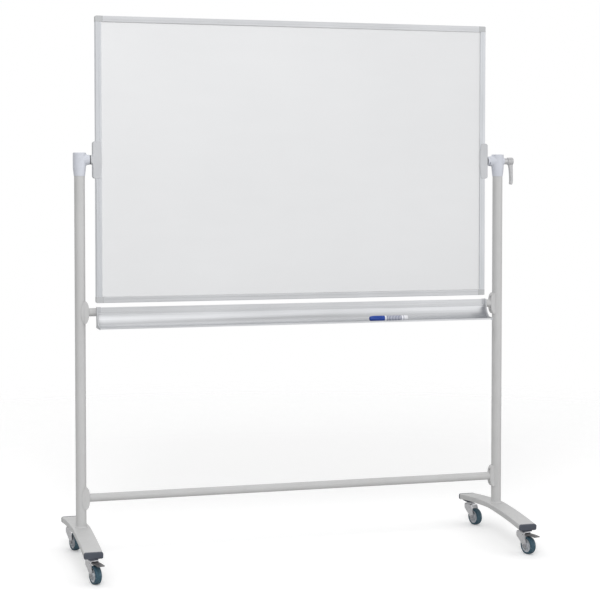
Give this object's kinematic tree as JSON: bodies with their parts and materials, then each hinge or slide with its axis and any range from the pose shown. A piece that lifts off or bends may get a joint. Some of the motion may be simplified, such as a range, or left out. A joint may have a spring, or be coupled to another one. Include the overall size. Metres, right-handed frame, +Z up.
{
  "type": "rolling whiteboard",
  "caption": "Free-standing two-sided whiteboard that turns end over end between two posts on arched feet with swivel casters, with a pen tray, a clamp lever and a marker.",
  "frame": {"origin": "on the floor under the middle of the board, in the plane that holds the two posts and the board's pivot axis", "axes": "+X to the right along the board, +Y to the back, +Z up; the board's front writing face looks along -Y"},
  "size_m": [1.7103, 0.6472, 1.977],
  "materials": {
    "post_enamel": "satin light grey powder coat",
    "frame_aluminium": "satin anodised",
    "corner_plastic": "satin grey moulding",
    "bracket_plastic": "satin grey moulding",
    "head_plastic": "satin pale blue-grey moulding",
    "cap_slate": "matte slate moulding",
    "writing_steel": "glossy white enamel",
    "core_board": "plain board",
    "tray_aluminium": "satin anodised",
    "tray_cap_plastic": "satin grey moulding",
    "zinc": "zinc plated, satin",
    "pedal_steel": "dark satin",
    "fastener_steel": "zinc plated",
    "wheel_plastic": "satin light grey moulding",
    "tyre_rubber": "matte blue-grey rubber",
    "lever_zinc": "satin silver-grey casting",
    "bush_plastic": "matte",
    "marker_blue": "gloss",
    "marker_white": null,
    "nib_felt": "inked felt"
  },
  "bodies": {
    "stand": {"left_post": "post_enamel", "right_post": "post_enamel", "left_post_head": "head_plastic", "right_post_head": "head_plastic", "left_foot": "post_enamel", "right_foot": "post_enamel", "front_left_foot_cap": "cap_slate", "front_right_foot_cap": "cap_slate", "rear_left_foot_cap": "cap_slate", "rear_right_foot_cap": "cap_slate", "foot_fasteners": "fastener_steel", "upper_crossbar": "post_enamel", "lower_crossbar": "post_enamel", "crossbar_saddles": "post_enamel", "post_screws": "fastener_steel", "tray_channel": "tray_aluminium", "tray_left_cap": "tray_cap_plastic", "tray_right_cap": "tray_cap_plastic", "tray_screws": "fastener_steel", "left_pivot_bush": "bush_plastic", "friction_washer": "bush_plastic", "right_pivot_stud": "zinc", "caster_stems": "zinc"},
    "board": {"front_sheet": "writing_steel", "back_sheet": "writing_steel", "board_core": "core_board", "frame_top": "frame_aluminium", "frame_bottom": "frame_aluminium", "frame_left": "frame_aluminium", "frame_right": "frame_aluminium", "frame_corners": "corner_plastic", "left_pivot_bracket": "bracket_plastic", "right_pivot_bracket": "bracket_plastic", "bracket_screws": "fastener_steel", "left_pivot_pin": "zinc"},
    "clamp_nut": {"lever_insert": "zinc", "lever_screw": "fastener_steel"},
    "clamp_handle": {"clamp_lever": "lever_zinc"},
    "marker": {"marker_barrel": "marker_white", "marker_nib": "nib_felt"},
    "marker_lid": {"marker_cap": "marker_blue"},
    "front_left_caster": {"front_left_fork": "zinc", "front_left_axle": "fastener_steel"},
    "front_left_wheel": {"front_left_wheel_core": "wheel_plastic", "front_left_tyre": "tyre_rubber"},
    "front_left_brake": {"front_left_pedal": "pedal_steel"},
    "front_right_caster": {"front_right_fork": "zinc", "front_right_axle": "fastener_steel"},
    "front_right_wheel": {"front_right_wheel_core": "wheel_plastic", "front_right_tyre": "tyre_rubber"},
    "front_right_brake": {"front_right_pedal": "pedal_steel"},
    "rear_left_caster": {"rear_left_fork": "zinc", "rear_left_axle": "fastener_steel"},
    "rear_left_wheel": {"rear_left_wheel_core": "wheel_plastic", "rear_left_tyre": "tyre_rubber"},
    "rear_right_caster": {"rear_right_fork": "zinc", "rear_right_axle": "fastener_steel"},
    "rear_right_wheel": {"rear_right_wheel_core": "wheel_plastic", "rear_right_tyre": "tyre_rubber"}
  },
  "joints": [
    {"name": "board_flip", "type": "hinge", "parent": "stand", "child": "board", "pos_m": [0, 0, 1.462], "axis": [1, 0, 0], "continuous": true},
    {"name": "clamp_lever_turn", "type": "hinge", "parent": "stand", "child": "clamp_nut", "pos_m": [0.843, 0, 1.462], "axis": [1, 0, 0], "range_deg": [0, 180]},
    {"name": "clamp_lever_lift", "type": "slide", "parent": "clamp_nut", "child": "clamp_handle", "axis": [1, 0, 0], "range_m": [0, 0.004], "stiffness_N_per_m": 400},
    {"name": "marker_lift_off", "type": "slide", "parent": "stand", "child": "marker", "axis": [0, 0, 1], "range_m": [0, 0.12]},
    {"name": "marker_cap_pull", "type": "slide", "parent": "marker", "child": "marker_lid", "axis": [-1, 0, 0], "range_m": [0, 0.06]},
    {"name": "front_left_swivel", "type": "hinge", "parent": "stand", "child": "front_left_caster", "pos_m": [-0.807, -0.2595, 0.079], "axis": [0, 0, 1], "continuous": true},
    {"name": "front_left_roll", "type": "hinge", "parent": "front_left_caster", "child": "front_left_wheel", "pos_m": [-0.79901, -0.28738, 0.0325], "axis": [0.9613, 0.2756, 0], "continuous": true},
    {"name": "front_left_brake_press", "type": "hinge", "parent": "front_left_caster", "child": "front_left_brake", "pos_m": [-0.80259, -0.27488, 0.0715], "axis": [0.9613, 0.2756, 0], "range_deg": [0, 8]},
    {"name": "front_right_swivel", "type": "hinge", "parent": "stand", "child": "front_right_caster", "pos_m": [0.807, -0.2595, 0.079], "axis": [0, 0, 1], "continuous": true},
    {"name": "front_right_roll", "type": "hinge", "parent": "front_right_caster", "child": "front_right_wheel", "pos_m": [0.81499, -0.28738, 0.0325], "axis": [0.9613, 0.2756, 0], "continuous": true},
    {"name": "front_right_brake_press", "type": "hinge", "parent": "front_right_caster", "child": "front_right_brake", "pos_m": [0.81141, -0.27488, 0.0715], "axis": [0.9613, 0.2756, 0], "range_deg": [0, 8]},
    {"name": "rear_left_swivel", "type": "hinge", "parent": "stand", "child": "rear_left_caster", "pos_m": [-0.807, 0.2595, 0.079], "axis": [0, 0, 1], "continuous": true},
    {"name": "rear_left_roll", "type": "hinge", "parent": "rear_left_caster", "child": "rear_left_wheel", "pos_m": [-0.79901, 0.23162, 0.0325], "axis": [0.9613, 0.2756, 0], "continuous": true},
    {"name": "rear_right_swivel", "type": "hinge", "parent": "stand", "child": "rear_right_caster", "pos_m": [0.807, 0.2595, 0.079], "axis": [0, 0, 1], "continuous": true},
    {"name": "rear_right_roll", "type": "hinge", "parent": "rear_right_caster", "child": "rear_right_wheel", "pos_m": [0.81499, 0.23162, 0.0325], "axis": [0.9613, 0.2756, 0], "continuous": true}
  ]
}
